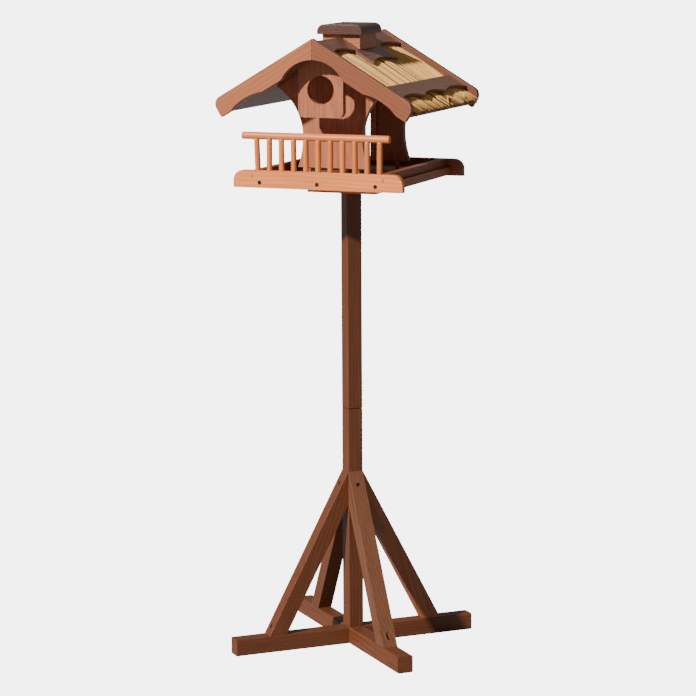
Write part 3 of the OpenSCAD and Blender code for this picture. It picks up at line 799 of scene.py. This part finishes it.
@dataclass
class Railing:
    """Handrail and turned balusters."""

    body: Body = Body.HOUSE
    count: int = 11
    lean_mm: float = 3.0
    sides: int = 24
    steps: int = 8

    def baluster(self, finishes: Finishes, number: int) -> None:
        """Makes one baluster: a dowel with a slight belly, and a lean on the outermost.

        Args:
            finishes: the built finishes.
            number: the baluster's number from the left.
        """
        node = f"baluster_{number:02d}"
        low, high = (Vector(p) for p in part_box(node))
        centre = (low + high) / 2.0
        radius = (high.x - low.x) / 2.0
        draw = random.Random(300 + number)
        lean = self.lean_mm * MM * (-1.0 if number == 1 else draw.uniform(-0.18, 0.18))
        neck = 0.975
        rings = []
        for step in range(self.steps + 1):
            part = step / self.steps
            girth = radius * (neck + (1.0 - neck) * math.sin(math.pi * part) ** 0.6)
            middle = Vector((centre.x + lean * (part - 0.5), centre.y, low.z + (high.z - low.z) * part))
            rings.append([middle + Vector((math.cos(a), math.sin(a), 0.0)) * girth
                          for a in (2.0 * math.pi * k / self.sides for k in range(self.sides))])
        bm = bmesh.new()
        tube(bm, rings)
        write_grain(bm, lay_matrix(Z, -Y, 700 + number, 30.0), centre, draw.uniform(0.50, 0.82))
        dowel = finish_piece(bm, node + "_dowel", self.body, (finishes.of(finishes.tray),),
                             (node,))
        # The railing casts no shadow, a liberty that keeps the wall behind it evenly lit
        dowel.visible_shadow = False

    def handrail(self, finishes: Finishes) -> None:
        """Makes the handrail: a long dowel with rounded-over ends and a slight bow.

        Args:
            finishes: the built finishes.
        """
        low, high = (Vector(p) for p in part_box("handrail"))
        centre = (low + high) / 2.0
        radius = (high.z - low.z) / 2.0
        half = (high.x - low.x) / 2.0
        ease = 2.2 * MM
        profile = [(-half, radius - ease), (-half + 0.3 * ease, radius - 0.35 * ease), (-half + ease, radius)]
        inner = [(-half + ease + (2 * half - 2 * ease) * k / 14.0, radius) for k in range(1, 14)]
        profile += inner + [(-x, r) for x, r in reversed(profile)]
        bm = bmesh.new()
        points = [bm.verts.new((x, 0.0, r)) for x, r in profile]
        edges = [bm.edges.new(pair) for pair in zip(points, points[1:])]
        bmesh.ops.spin(bm, geom=points + edges, cent=(0, 0, 0), axis=X, dvec=(0, 0, 0), angle=2 * math.pi,
                       steps=24, use_merge=True, use_duplicate=False)
        bmesh.ops.remove_doubles(bm, verts=bm.verts, dist=0.005 * MM)
        bmesh.ops.holes_fill(bm, edges=[e for e in bm.edges if e.is_boundary], sides=0)
        for v in bm.verts:
            bow = noise.noise(Vector((v.co.x * 6.0, 4.2, 0.0))) * 0.5 * MM
            v.co.z = (v.co.z + bow) * 0.985
            v.co.y *= 0.985
        bmesh.ops.translate(bm, verts=bm.verts, vec=centre)
        bmesh.ops.recalc_face_normals(bm, faces=bm.faces)
        write_grain(bm, lay_matrix(X, -Y, 41, 26.0), centre, 0.80)
        rail = finish_piece(bm, "handrail_dowel", self.body, (finishes.of(finishes.tray),),
                            ("handrail",))
        rail.visible_shadow = False

    def build(self, frame: dict, finishes: Finishes) -> None:
        """Makes the railing.

        Args:
            frame: the loaded frame, which is not used.
            finishes: the built finishes.
        """
        self.handrail(finishes)
        for number in range(1, self.count + 1):
            self.baluster(finishes, number)


@dataclass
class Walls:
    """Front wall, rear boards with their slot battens, plaque and spacers."""

    body: Body = Body.HOUSE

    def build(self, frame: dict, finishes: Finishes) -> None:
        """Makes every wooden piece of the walls.

        Args:
            frame: the loaded frame.
            finishes: the built finishes.
        """
        wood = (finishes.wall, finishes.wall_arris)
        Board("front_wall", self.body, Z, -Y, 1.2, 80.0).build(frame, finishes, *wood)
        Board("gable_plaque", self.body, Z, -Y, 1.6, 48.0).build(frame, finishes, *wood)
        for side in Side:
            Board(f"rear_wall_{side.word}", self.body, Z, -Y, 1.2, 70.0, 0.7).build(frame, finishes, *wood)
            Board(f"rear_batten_{side.word}", self.body, Z, -Y, 0.9, 50.0).build(frame, finishes, *wood)
        Board("wall_pegs", self.body, Z, -Y, 0.5, 50.0).build(frame, finishes, *wood)


@dataclass
class Roof:
    """Bargeboards, panels, ridge boards, eave battens and chimney."""

    body: Body = Body.HOUSE

    def build(self, frame: dict, finishes: Finishes) -> None:
        """Makes every wooden piece of the roof.

        Args:
            frame: the loaded frame.
            finishes: the built finishes.
        """
        wood = (finishes.house, finishes.house_arris)
        trim = (finishes.trim, finishes.trim_arris)
        for side in Side:
            for end in ("front", "back"):
                # The right bargeboards get a low tone: painted shade, deepest on the back one, whose inner
                # face is turned from the key light
                tone = {"front": 0.34, "back": 0.08}[end] if side is Side.RIGHT else 0.95
                Board(f"bargeboard_{end}_{side.word}", self.body, side.down_slope, -Y, 1.5,
                      50.0, tone).build(frame, finishes, *wood)
            Board(f"roof_panel_{side.word}", self.body, Y, side.out_of_slope, 0.8, 80.0).build(
                frame, finishes, *trim)
            Board(f"ridge_board_{side.word}", self.body, Y, side.out_of_slope, 1.3, 60.0).build(
                frame, finishes, *trim)
            Board(f"eave_batten_{side.word}", self.body, Y, side.out_of_slope, 1.3, 60.0).build(
                frame, finishes, *trim)
        Board("chimney_block", self.body, X, -Y, 1.2, 45.0).build(
            frame, finishes, finishes.wall, finishes.wall_arris)
        Board("chimney_cap", self.body, X, Z, 1.4, 50.0, 0.25).build(frame, finishes, *trim)


@dataclass
class ReedThatch:
    """Layers of reed stalks over a dark bed, on both slopes; the bed and the lower layers are painted dark as
    painted shade.
    """

    body: Body = Body.HOUSE
    trim_drop_mm: float = 13.5
    depth_mm: float = 13.0
    stalk_sides: int = 6
    stalk_steps: int = 6
    pitch_mm: float = 3.9
    layers: int = 3
    swell_mm: float = 3.2
    strays: tuple[tuple[float, ...], ...] = (
        (262.0, 52.0, 1.8, 48.0, -62.0, 3.0), (256.0, -6.0, 1.6, 17.0, 40.0, 0.0),
        (262.0, 150.0, 1.4, 18.0, -35.0, 2.0))
    swell_from: float = 0.050
    swell_to: float = 0.200

    def _stalk(self, bm: bmesh.types.BMesh, draw: random.Random, length: float,
               radius: float) -> list[bmesh.types.BMVert]:
        """Makes one stalk along +X from the origin, with a gentle wander, a taper and a slanted cut.

        Args:
            bm: the mesh that the stalk is added to.
            draw: the source of chance.
            length: its length.
            radius: its radius.

        Returns:
            The stalk's vertices.
        """
        wander = draw.uniform(0.0, 50.0)
        sway = draw.uniform(0.3, 1.4) * MM
        slant = draw.uniform(-0.7, 0.7)
        roll = draw.uniform(0.0, math.pi)
        rings = []
        for step in range(self.stalk_steps + 1):
            part = step / self.stalk_steps
            girth = radius * (1.0 - 0.14 * part)
            y = sway * noise.noise(Vector((part * 2.2, wander, 0.0)))
            z = 0.6 * sway * noise.noise(Vector((part * 2.2, wander, 9.0)))
            cut = slant if step == self.stalk_steps else 0.0
            spokes = [(math.cos(a) * girth, math.sin(a) * girth)
                      for a in (roll + 2.0 * math.pi * k / self.stalk_sides for k in range(self.stalk_sides))]
            rings.append([Vector((length * part + cut * rise, y + out, z + rise)) for out, rise in spokes])
        return tube(bm, rings)

    def build(self, frame: dict, finishes: Finishes) -> None:
        """Makes the reed of both slopes.

        Args:
            frame: the loaded frame, which is not used.
            finishes: the built finishes.
        """
        for side in Side:
            self._slope(side, finishes)

    def _slope(self, side: Side, finishes: Finishes) -> None:
        """Makes one slope: its bed and its stalks, as one piece.

        Args:
            side: the slope's side.
            finishes: the built finishes.
        """
        node = f"thatch_{side.word}"
        low, high = (Vector(p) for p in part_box(node))
        ridge_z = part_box("bargeboard_front_left")[1][2]
        outer = abs(low.x if side is Side.LEFT else high.x)
        top = -self.trim_drop_mm * MM
        bottom = top - self.depth_mm * MM
        reach = (outer - top * math.sin(PITCH)) / math.cos(PITCH)
        span = high.y - low.y
        draw = random.Random(11 if side is Side.LEFT else 12)
        # Slope frame: X down the slope, Y across it, Z out of it
        columns = Matrix((side.down_slope, Y, side.out_of_slope)).transposed()
        place = Matrix.Translation((0.0, 0.0, ridge_z)) @ columns.to_4x4()
        bm = bmesh.new()
        grain = bm.verts.layers.float_vector.new(GRAIN)
        tone = bm.verts.layers.float.new(TONE_AND_SHADE)
        # Bed: a dark sheet under the stalks, painted shade deep in the thatch
        start = 0.020
        bed_top = top - 4.5 * MM
        bed = bmesh.ops.create_cube(bm, size=1.0)["verts"]
        bmesh.ops.scale(bm, vec=(reach - 0.016 - start, span - 0.003, bed_top - bottom - 0.0005), verts=bed)
        bmesh.ops.translate(bm, verts=bed, vec=((reach - 0.016 + start) / 2.0, (low.y + high.y) / 2.0,
                                               (bed_top + bottom) / 2.0))
        bmesh.ops.subdivide_edges(bm, edges=bm.edges, cuts=9, use_grid_fill=True)
        for v in bm.verts:
            if v.co.z > (bed_top + bottom) / 2.0:
                v.co.z -= 1.2 * MM * (0.5 + 0.5 * noise.noise(v.co * 60.0))
            v[grain] = v.co
            v[tone] = 0.04
        # Stalks, from the lowest layer up
        for layer in range(self.layers):
            count = int(span / (self.pitch_mm * MM))
            for k in range(count):
                radius = draw.uniform(1.3, 2.1) * MM
                across = min(1.0, max(0.0, (k + draw.uniform(0.1, 0.9)) / count))
                y = low.y + radius + (span - 2.0 * radius) * across
                begin = draw.uniform(0.022, 0.034)
                end = reach - abs(draw.gauss(0.0, 4.5)) * MM
                end -= (self.layers - 1 - layer) * draw.uniform(0.0, 3.0) * MM
                if draw.random() < 0.10:
                    end -= draw.uniform(4.0, 16.0) * MM
                if layer == self.layers - 1 and draw.random() < 0.13:
                    continue
                end = min(end, reach - 1.5 * MM)
                verts = self._stalk(bm, draw, end - begin, radius)
                level = bottom + 2.2 * MM + (top - bottom - 4.2 * MM) * layer / (self.layers - 1)
                level += draw.uniform(-1.1, 0.6) * MM
                skew = math.radians(draw.gauss(0.0, 0.45))
                sag = math.radians(draw.uniform(-0.1, 0.12))
                swing = Matrix.Rotation(skew, 4, "Z") @ Matrix.Rotation(sag, 4, "Y")
                pose = Matrix.Translation((begin, y, level)) @ swing
                # Stalks below the top layer get a dark tone: painted shade under the top layer
                own = draw.uniform(0.26, 1.0) if layer == self.layers - 1 else draw.uniform(0.02, 0.3)
                if draw.random() < 0.18:
                    own = draw.uniform(0.08, 0.28)
                offset = Vector((draw.uniform(0.0, 5.0), draw.uniform(0.0, 5.0), draw.uniform(0.0, 5.0)))
                for v in verts:
                    v[grain] = v.co + offset
                    near_end = max(0.0, (v.co.x - (end - begin) + 0.004) / 0.004)
                    v[tone] = max(0.05, own - 0.12 * near_end)
                    v.co = pose @ v.co
                    v.co.y = min(max(v.co.y, low.y + 0.0004), high.y - 0.0004)
                    v.co.z = min(max(v.co.z, bottom), top - 0.0002)
                    # The layer swells between the ridge board and the eave batten
                    free = min(max((v.co.x - self.swell_from) / (self.swell_to - self.swell_from), 0.0), 1.0)
                    v.co.z += self.swell_mm * MM * math.sin(math.pi * free) * layer / (self.layers - 1)
        # A few loose straws caught on the eave, one of them hanging
        for u, y, lift, length, yaw, dip in self.strays:
            radius = 1.2 * MM
            verts = self._stalk(bm, draw, length * MM, radius)
            swing = Matrix.Rotation(math.radians(yaw), 4, "Z") @ Matrix.Rotation(math.radians(dip), 4, "Y")
            pose = Matrix.Translation((u * MM, y * MM, top + lift * MM)) @ swing
            for v in verts:
                v[grain] = v.co + Vector((7.0, u, y))
                v[tone] = 1.0
                v.co = pose @ v.co
        bmesh.ops.transform(bm, matrix=place, verts=bm.verts)
        for v in bm.verts:
            v.co.x = max(v.co.x, 0.0004) if side is Side.RIGHT else min(v.co.x, -0.0004)
        if side is Side.LEFT:
            bmesh.ops.reverse_faces(bm, faces=bm.faces)
        finish_piece(bm, node + "_stalks", self.body, (finishes.of(finishes.reed),), (node,),
                     even=False)


@dataclass
class Hardware:
    """Screws, nails, staples and the pole's threaded pieces."""

    bright: tuple[str, ...] = (
        "foot_screws", "pole_insert", "pole_stud", "swivel_screw", "swivel_washer", "plate_screws",
        "wall_screws")
    weathered: tuple[str, ...] = ("brace_screws", "tray_screws", "rim_staples", "roof_nails")

    def build(self, frame: dict, finishes: Finishes) -> None:
        """Dresses the CAD fasteners in steel.

        Args:
            frame: the loaded frame.
            finishes: the built finishes.
        """
        for nodes, finish in ((self.bright, finishes.steel), (self.weathered, finishes.aged)):
            for node in nodes:
                mesh = frame["nodes"][node].data
                mesh.materials.clear()
                mesh.materials.append(finishes.of(finish))
                log.info("%s: %s", node, finish.name)


@dataclass
class Studio:
    """Floor, light and camera."""

    camera_at: tuple[float, float, float] = (2.4439, -6.0491, 1.7957)
    turn: float = 22.08
    tilt: float = 80.57
    roll: float = -0.30
    lens: float = 145.1

    def build(self) -> None:
        """Sets up the studio."""
        self._floor()
        self._light()
        self._camera()

    def _floor(self) -> None:
        """Makes a wide pale floor."""
        bm = bmesh.new()
        bmesh.ops.create_grid(bm, x_segments=2, y_segments=2, size=90.0)
        mesh = bpy.data.meshes.new("studio_floor")
        bm.to_mesh(mesh)
        bm.free()
        material, s, shader = principled("studio_floor")
        shader.inputs["Base Color"].default_value = (0.24, 0.24, 0.24, 1.0)
        shader.inputs["Roughness"].default_value = 0.9
        # The camera sees an evenly lit paper sweep, while little of its light reaches the feeder
        paper = s.add("Emission")
        paper.inputs["Strength"].default_value = 5.5
        blend = s.add("MixShader")
        s.feed(blend.inputs[0], s.add("LightPath").outputs["Is Camera Ray"])
        s.feed(blend.inputs[1], shader.outputs[0])
        s.feed(blend.inputs[2], paper.outputs[0])
        out = next(n for n in material.node_tree.nodes if n.type == "OUTPUT_MATERIAL")
        s.feed(out.inputs["Surface"], blend.outputs[0])
        mesh.materials.append(material)
        floor = bpy.data.objects.new("studio_floor", mesh)
        bpy.context.scene.collection.objects.link(floor)
        floor.location.z = -0.0005

    def _light(self) -> None:
        """Makes one large key light from the front left and an even fill."""
        sun = bpy.data.lights.new("key", "SUN")
        sun.energy = 6.4
        sun.angle = math.radians(2.5)
        key = bpy.data.objects.new("key", sun)
        rise, aside = math.radians(33.0), math.radians(22.0)
        level = Vector((-math.sin(aside), -math.cos(aside), 0.0))
        towards = level * math.cos(rise) + Z * math.sin(rise)
        key.rotation_euler = towards.to_track_quat("Z", "Y").to_euler()
        bpy.context.scene.collection.objects.link(key)
        world = bpy.data.worlds.new("studio")
        bpy.context.scene.world = world
        world.use_nodes = True
        back = world.node_tree.nodes["Background"]
        back.inputs["Color"].default_value = (1.0, 1.0, 1.0, 1.0)
        back.inputs["Strength"].default_value = 0.20

    def _camera(self) -> None:
        """Makes the camera."""
        data = bpy.data.cameras.new("camera")
        data.lens = self.lens
        data.sensor_width = 36.0
        data.clip_end = 300.0
        camera = bpy.data.objects.new("camera", data)
        turn = Matrix.Rotation(math.radians(self.turn), 4, "Z")
        tilt = Matrix.Rotation(math.radians(self.tilt), 4, "X")
        roll = Matrix.Rotation(math.radians(self.roll), 4, "Z")
        camera.matrix_world = Matrix.Translation(self.camera_at) @ turn @ tilt @ roll
        bpy.context.scene.collection.objects.link(camera)
        bpy.context.scene.camera = camera


def main() -> None:
    """Builds the whole scene round the frame."""
    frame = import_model()
    finishes = Finishes()
    for assembly in (Stand(), Tray(), Railing(), Walls(), Roof(), ReedThatch(), Hardware()):
        assembly.build(frame, finishes)
        log.info("%s done", type(assembly).__name__)
    Studio().build()


if __name__ == "__main__":
    main()
